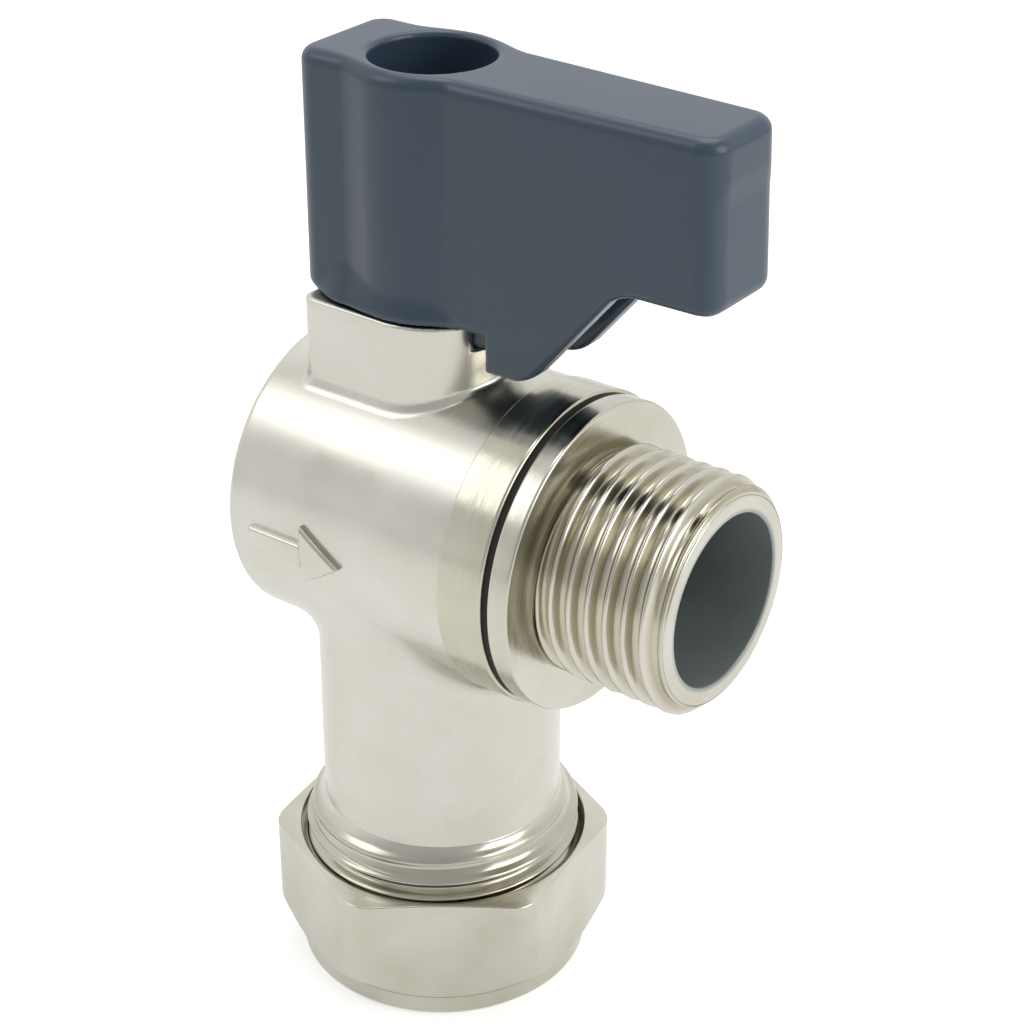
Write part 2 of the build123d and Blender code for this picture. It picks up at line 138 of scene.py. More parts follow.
def skin(field, low, high, cell):
    """Quads over the zero surface of a distance field, with the normal at each point.

    One point goes into each cell that the surface crosses, and is then pulled onto the surface.
    """
    # An odd share of a cell keeps grid points off flat faces, where a zero would leave a crack.
    margin, probe, pulls = 1.37 * cell, cell / 20, 6
    axes = [np.arange(start - margin, end + 2 * cell, cell) for start, end in zip(low, high)]
    value = field(*np.meshgrid(*axes, indexing="ij"))
    cells = np.array(value.shape) - 1
    total = np.zeros((*cells, 3))
    count = np.zeros(cells, int)
    rings = []
    for axis in range(3):
        near = value.take(range(cells[axis]), axis)
        far = value.take(range(1, cells[axis] + 1), axis)
        start = np.argwhere((near < 0) != (far < 0))
        here, there = near[tuple(start.T)], far[tuple(start.T)]
        place = start.astype(float)
        place[:, axis] += here / (here - there)
        ring = np.repeat(start[:, None], 4, axis=1)
        ring[:, (1, 2), (axis + 1) % 3] -= 1
        ring[:, (2, 3), (axis + 2) % 3] -= 1
        ring[here > 0] = ring[here > 0, ::-1]
        for corner in range(4):
            np.add.at(total, tuple(ring[:, corner].T), place)
            np.add.at(count, tuple(ring[:, corner].T), 1)
        rings.append(ring)
    number = np.cumsum(count > 0).reshape(cells) - 1
    origin = np.array([line[0] for line in axes])
    points = origin + cell * total[count > 0] / count[count > 0][:, None]
    for pull in range(pulls):
        slope = slope_of(field, points, probe)
        points -= (field(*points.T) / np.maximum((slope ** 2).sum(axis=1), 0.1))[:, None] * slope
    normals = slope_of(field, points, probe)
    normals /= np.linalg.norm(normals, axis=1)[:, None]
    faces = number[tuple(np.concatenate(rings).transpose(2, 0, 1))]
    return points, faces, normals


def new_piece(name, points, faces, material, body, node, normals=None):
    """Mesh piece from millimetre points, with its finish, its body and the solid that it stands for."""
    mesh = bpy.data.meshes.new(name)
    mesh.from_pydata((np.asarray(points) * MM).tolist(), [], np.asarray(faces).tolist())
    mesh.shade_smooth()
    if normals is not None:
        mesh.normals_split_custom_set_from_vertices(normals.tolist())
    mesh.materials.append(material)
    piece = bpy.data.objects.new(name, mesh)
    bpy.context.collection.objects.link(piece)
    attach(piece, body)
    if node:
        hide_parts(node)
    return piece


# Nickel plate on tumbled brass: a pale warm metal with a satin gloss, clouded, and gently uneven as the dies
# left it.
forged_nickel, tree, metal = new_finish("nickel_plate_on_forging")
metal.inputs["Metallic"].default_value = 1.0
where = add(tree, "ShaderNodeTexCoord", {}).outputs["Object"]
CLOUD_MM = 7.0
cloud = add(tree, "ShaderNodeTexNoise", {"Vector": where, "Scale": 1 / (CLOUD_MM * MM), "Detail": 3.0})
satin = add(tree, "ShaderNodeMapRange", {"Value": cloud.outputs["Fac"], "From Min": NOISE_LOW,
                                         "From Max": NOISE_HIGH, "To Min": 0.22, "To Max": 0.34})
swell = add(tree, "ShaderNodeTexNoise", {"Vector": where, "Scale": 1 / (CLOUD_MM * MM), "Detail": 0.0})
waves = add(tree, "ShaderNodeBump", {"Height": swell.outputs["Fac"], "Strength": 0.15,
                                     "Distance": 0.1 * MM})
plate = add(tree, "ShaderNodeMix", {0: cloud.outputs["Fac"], 6: linear("#C2BFB0"), 7: linear("#DDDCD6")},
            data_type="RGBA")
tree.links.new(plate.outputs[2], metal.inputs["Base Color"])
tree.links.new(satin.outputs["Result"], metal.inputs["Roughness"])
tree.links.new(waves.outputs["Normal"], metal.inputs["Normal"])

points, faces, normals = skin(
    forging, (BARREL_BACK, -BARREL_R, LEG_CUT), (BARREL_FRONT, BARREL_R, BOSS_TOP), FORGING_CELL)
new_piece(
    "forged_body", points, faces, forged_nickel, "valve_body", "valve_body", normals)

# Flow arrow. A plain raised arrow on the near side of the barrel, pointing to the outlet. It is forged in one
# with the body, so it has the same plated and tumbled finish.

ARROW_TAIL, ARROW_NECK, ARROW_TIP = -10.0, -4.2, 0.2
ARROW_SHAFT_HALF, ARROW_HEAD_HALF, ARROW_RISE, ARROW_ROOT, ARROW_EDGE = 1.1, 2.9, 0.6, 0.6, 0.35
ARROW_LEAN = np.radians(-4)
ARROW_CELL = 0.13


def arrow_relief(x, y, z):
    """Distance from the arrow, laid round the barrel."""
    barrel_r = np.hypot(y, z - OUTLET_HEIGHT)
    across = np.abs(np.arctan2(z - OUTLET_HEIGHT, -y) - ARROW_LEAN) * BARREL_R
    shaft = np.maximum.reduce([across - ARROW_SHAFT_HALF, ARROW_TAIL - x, x - ARROW_NECK - ARROW_EDGE])
    taper = np.arctan2(ARROW_HEAD_HALF, ARROW_TIP - ARROW_NECK)
    head = np.maximum(ARROW_NECK - x, across * np.cos(taper) + (x - ARROW_TIP) * np.sin(taper))
    skin_r = np.maximum(barrel_r - BARREL_R - ARROW_RISE, BARREL_R - ARROW_ROOT - barrel_r)
    return round_cross(np.minimum(shaft, head), skin_r, ARROW_EDGE)


arrow_low = (ARROW_TAIL, -BARREL_R - ARROW_RISE, OUTLET_HEIGHT - 2 * ARROW_HEAD_HALF)
arrow_high = (ARROW_TIP, ARROW_HEAD_HALF - BARREL_R, OUTLET_HEIGHT + 2 * ARROW_HEAD_HALF)
points, faces, normals = skin(arrow_relief, arrow_low, arrow_high, ARROW_CELL)
new_piece("flow_arrow", points, faces, forged_nickel, "valve_body", None, normals)

# Leg end. The foot of the same forging, turned and threaded for the compression nut: a coned shoulder and a
# right-hand pipe thread outside, and inside a cone for the olive and a socket that stops the pipe.

THREAD_PITCH = 1.814
THREAD_DEPTH = 1.0
CREST_SHARPNESS = 2.2
LEG_END, LEG_THREAD_TOP, LEG_CREST_R, LEG_CHAMFER = 7.25, 15.3, 13.1, 0.4
LEG_SHOULDER_TOP, SHOULDER_HOLLOW = 18.0, 1.2
RUN_OUT_DEPTH, RUN_OUT_FADE = 0.55, 0.7
SEAM_LAP = 0.05
BROKEN_EDGE = 0.2
LEG_MOUTH_R, PIPE_R, CONE_TOP, PIPE_STOP, LEG_LIP = 12.55, 11.1, 10.15, 15.75, 0.15
TURN_STEPS, THREAD_STEPS = 160, 14
CORNER_STEPS, CORNER_SHARE = 5, 0.45


def soft(corners):
    """Closed outline through (a, b, radius) corners, each rounded by its own radius."""
    corners = np.asarray(corners, float)
    outline = []
    for before, (a, b, radius), after in zip(np.roll(corners, 1, 0), corners, np.roll(corners, -1, 0)):
        corner = np.array((a, b))
        if radius == 0:
            outline.append(corner)
            continue
        back, on = before[:2] - corner, after[:2] - corner
        back_length, on_length = np.linalg.norm(back), np.linalg.norm(on)
        half = np.arccos(np.clip(back @ on / (back_length * on_length), -1, 1)) / 2
        reach = min(radius / np.tan(half), CORNER_SHARE * back_length, CORNER_SHARE * on_length)
        start, end = corner + back / back_length * reach, corner + on / on_length * reach
        for t in np.linspace(0, 1, CORNER_STEPS):
            outline.append((1 - t) ** 2 * start + 2 * t * (1 - t) * corner + t ** 2 * end)
    return np.array(outline)


def thread_rows(start, end, crest, chamfer_from, chamfer_to, first_crest):
    """Rows of (radius, height) round a right-hand thread, cut back by a cone at each end."""
    heights = np.linspace(start, end, int((end - start) / THREAD_PITCH * THREAD_STEPS))
    turn = np.arange(TURN_STEPS) / TURN_STEPS
    phase = (heights[:, None] - first_crest) / THREAD_PITCH - turn[None]
    ridge = (0.5 + 0.5 * np.cos(2 * np.pi * phase)) ** CREST_SHARPNESS
    radius = crest - THREAD_DEPTH * (1 - ridge)
    cone = crest - np.maximum(chamfer_from - (heights - start), chamfer_to - (end - heights)).clip(0)
    radius = np.minimum(radius, np.maximum(cone[:, None], crest - THREAD_DEPTH - chamfer_to))
    return np.stack([radius, np.repeat(heights[:, None], TURN_STEPS, axis=1)], axis=2)


def whole_turn(outline):
    """The same (radius, height) row all the way round."""
    return np.repeat(np.asarray(outline)[:, None], TURN_STEPS, axis=1)


def revolve(rows, along_outlet=False):
    """Closed skin from rows of (radius, height) round the stem axis, or round the outlet axis."""
    angle = 2 * np.pi * np.arange(rows.shape[1]) / rows.shape[1]
    radius, height = rows[..., 0], rows[..., 1]
    across, up = radius * np.cos(angle), radius * np.sin(angle)
    if along_outlet:
        points = np.stack([height, across, OUTLET_HEIGHT + up], axis=2)
    else:
        points = np.stack([across, up, height], axis=2)
    index = np.arange(rows.shape[0] * rows.shape[1]).reshape(rows.shape[:2])
    above, beside = np.roll(index, -1, axis=0), np.roll(index, -1, axis=1)
    faces = np.stack([index, beside, np.roll(above, -1, axis=1), above], axis=2)
    return points.reshape(-1, 3), faces.reshape(-1, 4)


def flat_faces_win(piece):
    """Lets wide flats keep their own normals beside small rounded edges."""
    piece.modifiers.new("flat_faces_win", "WEIGHTED_NORMAL").weight = 80


# Nickel plate on turned brass: bright, with fine tool lines round the axis of the lathe. The lathe's own feed
# marks are finer: these are as coarse as they need to be to show.
TOOL_LINE_MM = 0.3
# Besides NICKEL, these tones are painted shade: darker tones laid in thread roots, in the creases beside the
# collar and down bores, where shade falls.
NICKEL, SHADED, BRASSY_PAINTED_SHADE, BORE_PAINTED_SHADE = "#DAD8CF", "#C9C6BB", "#BDB5A0", "#A3ADAE"
OUTERMOST_R = 20.0


def turned_nickel(name, along_outlet, rings):
    """Plated metal with tool lines round one of the two axes, in rings of (radius, tone, metallic)."""
    material, tree, metal = new_finish(name)
    where = add(tree, "ShaderNodeTexCoord", {}).outputs["Object"]
    centre = (0, 0, OUTLET_HEIGHT * MM) if along_outlet else (0, 0, 0)
    own = add(tree, "ShaderNodeVectorMath", {0: where, 1: centre}, operation="SUBTRACT").outputs["Vector"]
    off_axis = (0, 1, 1) if along_outlet else (1, 1, 0)
    spoke = add(tree, "ShaderNodeVectorMath", {0: own, 1: off_axis}, operation="MULTIPLY").outputs["Vector"]
    radius = add(tree, "ShaderNodeVectorMath", {0: spoke}, operation="LENGTH").outputs["Value"]
    parts = add(tree, "ShaderNodeSeparateXYZ", {"Vector": own}).outputs
    along = parts["X"] if along_outlet else parts["Z"]
    lathe = add(tree, "ShaderNodeCombineXYZ", {"X": along, "Y": radius}).outputs["Vector"]
    lines = add(tree, "ShaderNodeTexNoise", {"Vector": lathe, "Scale": 1 / (TOOL_LINE_MM * MM)})
    cloud = add(tree, "ShaderNodeTexNoise", {"Vector": where, "Scale": 1 / (CLOUD_MM * MM), "Detail": 2.0})
    gloss = add(tree, "ShaderNodeMapRange", {"Value": lines.outputs["Fac"], "From Min": NOISE_LOW,
                                             "From Max": NOISE_HIGH, "To Min": 0.16, "To Max": 0.27})
    ridges = add(tree, "ShaderNodeBump", {"Height": lines.outputs["Fac"], "Strength": 0.2,
                                          "Distance": 0.02 * MM})
    reach = rings[-1][0] * MM
    spread = add(tree, "ShaderNodeMath", {0: radius, 1: reach}, operation="DIVIDE").outputs[0]
    tone = add(tree, "ShaderNodeValToRGB", {"Fac": spread})
    shine = add(tree, "ShaderNodeValToRGB", {"Fac": spread})
    for number, (ring_r, colour, metallic) in enumerate(rings):
        for ramp, value in ((tone, linear(colour)), (shine, (metallic, metallic, metallic, 1))):
            stops = ramp.color_ramp.elements
            stop = stops[number] if number < 2 else stops.new(1.0)
            stop.position, stop.color = ring_r * MM / reach, value
    clouded = add(
        tree, "ShaderNodeMix", {0: cloud.outputs["Fac"], 6: tone.outputs["Color"], 7: linear("#DAD8CE")},
        data_type="RGBA", blend_type="MULTIPLY")
    tree.links.new(clouded.outputs[2], metal.inputs["Base Color"])
    tree.links.new(shine.outputs["Color"], metal.inputs["Metallic"])
    tree.links.new(gloss.outputs["Result"], metal.inputs["Roughness"])
    tree.links.new(ridges.outputs["Normal"], metal.inputs["Normal"])
    return material


leg_root_r = LEG_CREST_R - THREAD_DEPTH
leg_rings = ((LEG_R + BROKEN_EDGE, NICKEL, 1.0), (leg_root_r, SHADED, 1.0), (OUTERMOST_R, NICKEL, 1.0))
leg_nickel = turned_nickel("nickel_plate_on_turned_leg", False, leg_rings)

leg_inside = soft([
    (LEG_R - SEAM_LAP, LEG_SHOULDER_TOP + SEAM_LAP, 0), (LEG_R - SEAM_LAP, LEG_CUT, 0),
    (WATERWAY_R, LEG_CUT, 0), (WATERWAY_R, PIPE_STOP, BROKEN_EDGE), (PIPE_R, PIPE_STOP, BROKEN_EDGE),
    (PIPE_R, CONE_TOP, BROKEN_EDGE), (LEG_MOUTH_R, LEG_END, 0)])
leg_thread = thread_rows(LEG_END, LEG_SHOULDER_TOP, LEG_CREST_R, LEG_CHAMFER, 0, LEG_THREAD_TOP)
climb = np.clip((leg_thread[..., 1] - LEG_THREAD_TOP) / (LEG_SHOULDER_TOP - LEG_THREAD_TOP), 0, 1)
shoulder = LEG_CREST_R - (LEG_CREST_R - LEG_R) * climb ** SHOULDER_HOLLOW
groove = (LEG_CREST_R - leg_thread[..., 0]) * (1 - climb) ** RUN_OUT_FADE
leg_thread[..., 0] = shoulder - groove * np.where(climb > 0, RUN_OUT_DEPTH, 1)
# The grooves run shallow at the mouth, where the cone for the olive leaves only a thin lip behind them.
cone_taper = (LEG_MOUTH_R - PIPE_R) / (CONE_TOP - LEG_END)
cone_r = LEG_MOUTH_R - (leg_thread[..., 1] - LEG_END) * cone_taper
leg_thread[..., 0] = np.maximum(leg_thread[..., 0], cone_r + LEG_LIP)
points, faces = revolve(np.concatenate([leg_thread, whole_turn(leg_inside)]))
leg_end = new_piece("leg_end", points, faces, leg_nickel, "valve_body", None)
flat_faces_win(leg_end)

# Collar. The mouth of the forging, turned true to a slightly larger ring where the outlet screws in. It is
# one metal with the body, and its plating is a little warmer than on the tumbled forging beside it.

COLLAR_R, COLLAR_BACK, COLLAR_FRONT, COLLAR_EDGE = 14.25, 10.9, 15.4, 0.3
WARM_NICKEL = "#D3D0C3"

# The collar's inner edges, where it meets the barrel and the gasket, shade into a darker brassy tone: painted
# shade in those creases.
collar_rings = (
    (BARREL_R - COLLAR_EDGE, BRASSY_PAINTED_SHADE, 1.0), (BARREL_R, WARM_NICKEL, 1.0), (OUTERMOST_R, WARM_NICKEL, 1.0))
collar_nickel = turned_nickel("nickel_plate_on_turned_collar", True, collar_rings)
collar_section = soft([
    (BARREL_R - SEAM_LAP, COLLAR_BACK, 0), (COLLAR_R, COLLAR_BACK, BROKEN_EDGE),
    (COLLAR_R, COLLAR_FRONT, COLLAR_EDGE), (NOSE_SOCKET_R, COLLAR_FRONT, COLLAR_EDGE),
    (NOSE_SOCKET_R, COLLAR_BACK, 0)])
points, faces = revolve(whole_turn(collar_section), along_outlet=True)
collar = new_piece("mouth_collar", points, faces, collar_nickel, "valve_body", None)
flat_faces_win(collar)

# Connector gasket. A thin washer punched from black fibre sheet, slipped over the nose of the outlet and
# pinched between the body and the flange.


def mottled_finish(name, dark, light, roughness, metallic, mottle_mm):
    """Finish of a small piece, with a faint mottle of one real size in its colour and its gloss."""
    material, tree, surface = new_finish(name)
    surface.inputs["Metallic"].default_value = metallic
    where = add(tree, "ShaderNodeTexCoord", {}).outputs["Object"]
    mottle = add(tree, "ShaderNodeTexNoise", {"Vector": where, "Scale": 1 / (mottle_mm * MM), "Detail": 3.0})
    colour = add(tree, "ShaderNodeMix", {0: mottle.outputs["Fac"], 6: linear(dark), 7: linear(light)},
                 data_type="RGBA")
    wear = add(tree, "ShaderNodeMapRange", {"Value": mottle.outputs["Fac"], "To Min": roughness * 0.8,
                                            "To Max": roughness * 1.2})
    tree.links.new(colour.outputs[2], surface.inputs["Base Color"])
    tree.links.new(wear.outputs["Result"], surface.inputs["Roughness"])
    return material


# Vulcanised fibre: dull black, faintly brown where the paper shows.
black_fibre = mottled_finish("black_vulcanised_fibre", "#131211", "#2A2825", 0.7, 0.0, 0.4)
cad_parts["connector_gasket"].data.materials[0] = black_fibre

# Outlet connector. Turned from brass bar and plated: a nose screwed into the body, a flange that pinches
# the gasket, and a right-hand parallel pipe thread with a chamfered end.

NOSE_R, NOSE_BACK = 12.05, 9.95
FLANGE_R, FLANGE_BACK, FLANGE_FRONT, FLANGE_EDGE = 14.0, 15.9, 17.95, 0.3
OUTLET_CREST_R, OUTLET_FACE, OUTLET_CHAMFER = 10.48, 30.4, 1.2
RELIEF, RUN_IN = 0.15, 0.4
BORE_R, LIP_R, LIP_FRONT = 7.68, 5.9, 11.55
TONE_FADE = 0.1

root_r = OUTLET_CREST_R - THREAD_DEPTH
# Down the bore the plate is painted a bluish grey and made hardly metallic: painted shade and bluish
# reflection inside the bore. The thread's roots get a darker brassy tone: painted shade in the grooves.
outlet_rings = (
    (BORE_R + TONE_FADE, BORE_PAINTED_SHADE, 0.25), (BORE_R + 5 * TONE_FADE, NICKEL, 1.0),
    (root_r - TONE_FADE, NICKEL, 1.0), (root_r + TONE_FADE, BRASSY_PAINTED_SHADE, 1.0),
    (OUTLET_CREST_R - 2.5 * TONE_FADE, NICKEL, 1.0), (OUTERMOST_R, NICKEL, 1.0))
outlet_nickel = turned_nickel("nickel_plate_on_turned_outlet", True, outlet_rings)
nose_and_flange = soft([
    (NOSE_R, NOSE_BACK, BROKEN_EDGE), (NOSE_R, FLANGE_BACK, 0), (FLANGE_R, FLANGE_BACK, FLANGE_EDGE),
    (FLANGE_R, FLANGE_FRONT, FLANGE_EDGE), (root_r, FLANGE_FRONT, BROKEN_EDGE),
    (root_r, FLANGE_FRONT + RELIEF, 0)])
face_and_bore = soft([
    (OUTLET_CREST_R - OUTLET_CHAMFER, OUTLET_FACE, BROKEN_EDGE), (BORE_R, OUTLET_FACE, BROKEN_EDGE),
    (BORE_R, LIP_FRONT, BROKEN_EDGE), (LIP_R, LIP_FRONT, BROKEN_EDGE), (LIP_R, NOSE_BACK, BROKEN_EDGE)])
first_crest = FLANGE_FRONT + THREAD_PITCH / 2
outlet_thread = thread_rows(
    FLANGE_FRONT + RELIEF, OUTLET_FACE, OUTLET_CREST_R, RUN_IN, OUTLET_CHAMFER, first_crest)[:-1]
rows = np.concatenate([whole_turn(nose_and_flange), outlet_thread, whole_turn(face_and_bore)])
points, faces = revolve(rows, along_outlet=True)
connector = new_piece(
    "turned_outlet", points, faces, outlet_nickel, "valve_body", "outlet_connector")
flat_faces_win(connector)

# Lever handle. Injection moulded in one piece: a hub over the stem, a square tail and a tapered arm, all
# hollow below, with a stop skirt and its lug. The upper edges are softly rounded by the mould.

HUB_R, HANDLE_FOOT, HANDLE_TOP = 7.0, 68.65, 90.0
TAIL_BACK, TAIL_HALF = -10.4, 5.8
ARM_END, ARM_FOOT, ARM_ROOT_HALF, ARM_TIP_HALF = 30.5, 75.7, 5.6, 4.7
UPRIGHT_EDGE, TOP_EDGE, LOWER_EDGE, VALLEY = 2.2, 1.2, 0.8, 0.8
TIP_EDGE, TIP_RAKE = 1.2, 0.5
SKIRT_FOOT, SKIRT_INNER, SKIRT_TOE, SKIRT_ANGLE, KNEE = 65.4, 9.0, 13.2, np.radians(50), 1.2
FLARE_HEIGHT, FLARE_INSET, FLARE_DEPTH = 5.0, 1.7, 3.0
FLARE_BACK, FLARE_CORNER, FLARE_BLEND = 8.4, 3.6, 1.6
WALL, ROOF, HOLLOW_EDGE = 2.0, 2.5, 0.3
LUG_INNER, LUG_HALF, LUG_FOOT = 5.3, 3.2, 66.6
RECESS_R, RECESS_FLOOR, RECESS_EDGE = 5.36, 78.85, 0.45
SOCKET_R, SOCKET_HALF, SOCKET_TOP, SCREW_HOLE_R = 3.95, 2.85, 76.05, 2.3
HANDLE_CELL = 0.3


def moulding(x, y, z):
    """Distance from the moulded lever, negative inside the plastic."""
    axis_r = np.hypot(x, y)
    tail = round_cross(np.abs(y) - TAIL_HALF, TAIL_BACK - x, UPRIGHT_EDGE)
    tail = np.maximum(tail, x)
    half = ARM_ROOT_HALF + (ARM_TIP_HALF - ARM_ROOT_HALF) * x / ARM_END
    rake = TIP_RAKE * (HANDLE_TOP - z) / (HANDLE_TOP - ARM_FOOT)
    arm = np.maximum(round_cross(np.abs(y) - half, x - ARM_END - rake, UPRIGHT_EDGE), -x)
    plan = round_join(round_join(axis_r - HUB_R, tail, VALLEY), arm, VALLEY)
    rise = np.clip((z - HANDLE_FOOT) / FLARE_HEIGHT, 0, 1)
    foot = round_cross(np.abs(y) - BOSS_R, -FLARE_BACK - x, FLARE_CORNER)
    foot = np.where(x > 0, axis_r - BOSS_R, foot)
    flare = foot + FLARE_INSET * (1 - (1 - rise) ** 2) + FLARE_DEPTH * rise ** 2
    flare = np.maximum(flare, z - HANDLE_FOOT - FLARE_HEIGHT)
    plan = round_join(plan, flare, FLARE_BLEND)
    slope = (x - SKIRT_TOE) * np.sin(SKIRT_ANGLE) - (z - SKIRT_FOOT) * np.cos(SKIRT_ANGLE)
    hub = np.maximum(HANDLE_FOOT - z, slope)
    skirt = np.maximum(round_cross(SKIRT_FOOT - z, slope, KNEE), SKIRT_INNER - x)
    tip = round_cross(ARM_FOOT - z, x - ARM_END - rake, TIP_EDGE)
    side = round_join(tip, np.minimum(hub, skirt), KNEE)
    plastic = round_cross(round_cross(plan, z - HANDLE_TOP, TOP_EDGE), side, LOWER_EDGE)
    hollow = np.maximum.reduce([
        SKIRT_INNER + WALL - x, x - ARM_END + WALL, np.abs(y) - ARM_TIP_HALF + WALL, z - HANDLE_TOP + ROOF])
    plastic = round_cut(plastic, hollow, HOLLOW_EDGE)
    lug = np.maximum.reduce([
        LUG_INNER - x, x - SKIRT_INNER - WALL / 2, np.abs(y) - LUG_HALF,
        LUG_FOOT - z, z - HANDLE_FOOT - WALL])
    plastic = np.minimum(plastic, lug)
    socket = np.maximum.reduce([axis_r - SOCKET_R, np.abs(y) - SOCKET_HALF, z - SOCKET_TOP])
    screw_hole = np.maximum(axis_r - SCREW_HOLE_R, z - HANDLE_TOP)
    plastic = np.maximum(plastic, -np.minimum(socket, screw_hole))
    recess = np.maximum(axis_r - RECESS_R, RECESS_FLOOR - z)
    return round_cut(plastic, recess, RECESS_EDGE)


# ABS, injection moulded in a lightly spark-eroded tool: slate grey with a soft gloss and a fine even grain.
# The real grain is finer: this one is as coarse as it needs to be to show.
slate_abs, tree, plastic = new_finish("slate_grey_moulded_abs")
plastic.inputs["IOR"].default_value = 1.53
where = add(tree, "ShaderNodeTexCoord", {}).outputs["Object"]
GRAIN_MM, FLOW_MM = 0.3, 9.0
grain = add(tree, "ShaderNodeTexNoise", {"Vector": where, "Scale": 1 / (GRAIN_MM * MM), "Detail": 2.0})
flow = add(tree, "ShaderNodeTexNoise", {"Vector": where, "Scale": 1 / (FLOW_MM * MM), "Detail": 2.0})
sheen = add(tree, "ShaderNodeMapRange", {"Value": flow.outputs["Fac"], "From Min": NOISE_LOW,
                                         "From Max": NOISE_HIGH, "To Min": 0.28, "To Max": 0.34})
texture = add(tree, "ShaderNodeBump", {"Height": grain.outputs["Fac"], "Strength": 0.15,
                                       "Distance": 0.03 * MM})
slate = add(tree, "ShaderNodeMix", {0: flow.outputs["Fac"], 6: linear("#374858"), 7: linear("#3D4F60")},
            data_type="RGBA")
tree.links.new(slate.outputs[2], plastic.inputs["Base Color"])
tree.links.new(sheen.outputs["Result"], plastic.inputs["Roughness"])
tree.links.new(texture.outputs["Normal"], plastic.inputs["Normal"])

points, faces, normals = skin(
    moulding, (TAIL_BACK, -BOSS_R, SKIRT_FOOT), (ARM_END + TIP_RAKE, BOSS_R, HANDLE_TOP), HANDLE_CELL)
new_piece("moulded_lever", points, faces, slate_abs, "lever", "lever_handle", normals)

# Compression nut. Turned and milled from hexagon bar with rounded corners, chamfered to a crown above and
# turned round at its foot, then plated.

NUT_FLATS, NUT_HEIGHT, NUT_CORNER_R, NUT_TURN = 14.25, 13.5, 3.0, np.radians(37.0)
NUT_FOOT_R, NUT_FOOT_TOP, NUT_FOOT_EDGE = 13.85, 2.4, 0.7
CROWN_R, CROWN_SLOPE = 13.95, np.tan(np.radians(8))
NUT_BORE_R, NUT_MOUTH, NUT_FLOOR, NUT_HOLE_R = 13.15, 0.6, 3.2, 11.1
NUT_SOFT, NUT_CRISP = 0.6, 0.1
NUT_STEPS = 360


def hexagon_radius(angle):
    """Distance from the axis to a hexagon with rounded corners."""
    off_flat = (angle + np.pi / 6) % (np.pi / 3) - np.pi / 6
    off_corner = np.pi / 6 - np.abs(off_flat)
    centre = (NUT_FLATS - NUT_CORNER_R) / np.cos(np.pi / 6)
    beside = centre * np.sin(off_corner)
    arc = centre * np.cos(off_corner) + np.sqrt(np.maximum(NUT_CORNER_R ** 2 - beside ** 2, 0))
    on_flat = NUT_FLATS / np.cos(off_flat)
    reached = np.abs(off_flat) > np.arctan((NUT_FLATS - NUT_CORNER_R) * np.tan(np.pi / 6) / NUT_FLATS)
    return np.where(reached, arc, on_flat)


def nut_section(hexagon_r):
    """Closed outline of the nut's wall where the hexagon has a given radius."""
    cone_top = NUT_FLOOR + NUT_BORE_R - NUT_HOLE_R
    return soft([
        (NUT_HOLE_R, 0, 0), (NUT_FOOT_R - NUT_FOOT_EDGE, 0, NUT_SOFT), (NUT_FOOT_R, NUT_FOOT_EDGE, NUT_SOFT),
        (NUT_FOOT_R, NUT_FOOT_TOP, NUT_SOFT), (hexagon_r, NUT_FOOT_TOP + hexagon_r - NUT_FOOT_R, NUT_SOFT),
        (hexagon_r, NUT_HEIGHT - (hexagon_r - CROWN_R) * CROWN_SLOPE, BROKEN_EDGE),
        (CROWN_R, NUT_HEIGHT, NUT_CRISP), (NUT_BORE_R + NUT_MOUTH, NUT_HEIGHT, NUT_CRISP),
        (NUT_BORE_R, NUT_HEIGHT - NUT_MOUTH, NUT_CRISP), (NUT_BORE_R, cone_top, BROKEN_EDGE),
        (NUT_HOLE_R, NUT_FLOOR, BROKEN_EDGE)])


# The nut's hole and inner cone take a bluish grey that fades to nickel up the bore: painted shade inside the
# nut.
nut_rings = ((NUT_HOLE_R, BORE_PAINTED_SHADE, 1.0), (NUT_BORE_R, NICKEL, 1.0), (OUTERMOST_R, NICKEL, 1.0))
nut_nickel = turned_nickel("nickel_plate_on_hexagon_bar", False, nut_rings)
angles = 2 * np.pi * np.arange(NUT_STEPS) / NUT_STEPS
rows = np.stack([nut_section(r) for r in hexagon_radius(angles - NUT_TURN - np.pi / 6)], axis=1)
points, faces = revolve(rows)
nut = new_piece("hexagon_nut", points, faces, nut_nickel, "nut", "compression_nut")
flat_faces_win(nut)

# Ball. A brass ball with an angled waterway, ground and hard chromed. It floats between its two seats, where
# the tongue of the stem turns it.

# Hard chrome, polished: mirror bright and faintly blue.
chrome = mottled_finish("hard_chrome_on_ball", "#C4C8CB", "#D2D6D8", 0.12, 1.0, 2.0)
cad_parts["ball"].data.materials[0] = chrome

# Seats and thrust washer. White rings moulded in PTFE: two seats pressed in on either side of the ball, and a
# washer that the collar of the stem bears on.

# PTFE: waxy white, with a soft gloss.
ptfe = mottled_finish("white_moulded_ptfe", "#E4E3DE", "#EFEEEA", 0.5, 0.0, 1.5)
for ring_name in ("outlet_seat", "rear_seat", "stem_thrust_washer"):
    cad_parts[ring_name].data.materials[0] = ptfe

# Stem. Turned from brass bar, with a tongue for the ball, a thrust collar, two grooves and a flatted head for
# the lever. It goes in from inside the body, so the water can't push it out.

# Bare brass off the lathe: yellow, dulled by handling.
bare_brass = mottled_finish("bare_turned_brass", "#B08A45", "#C9A45C", 0.3, 1.0, 0.8)
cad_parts["stem"].data.materials[0] = bare_brass

# Stem rings. Two rings moulded in nitrile rubber, sprung into the grooves of the stem, which keep the water
# in as it turns.

# Nitrile rubber: flat black.
nitrile = mottled_finish("black_nitrile_rubber", "#141414", "#1F1F1E", 0.6, 0.0, 0.6)
for ring_name in ("stem_o_ring_lower", "stem_o_ring_upper"):
    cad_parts[ring_name].data.materials[0] = nitrile

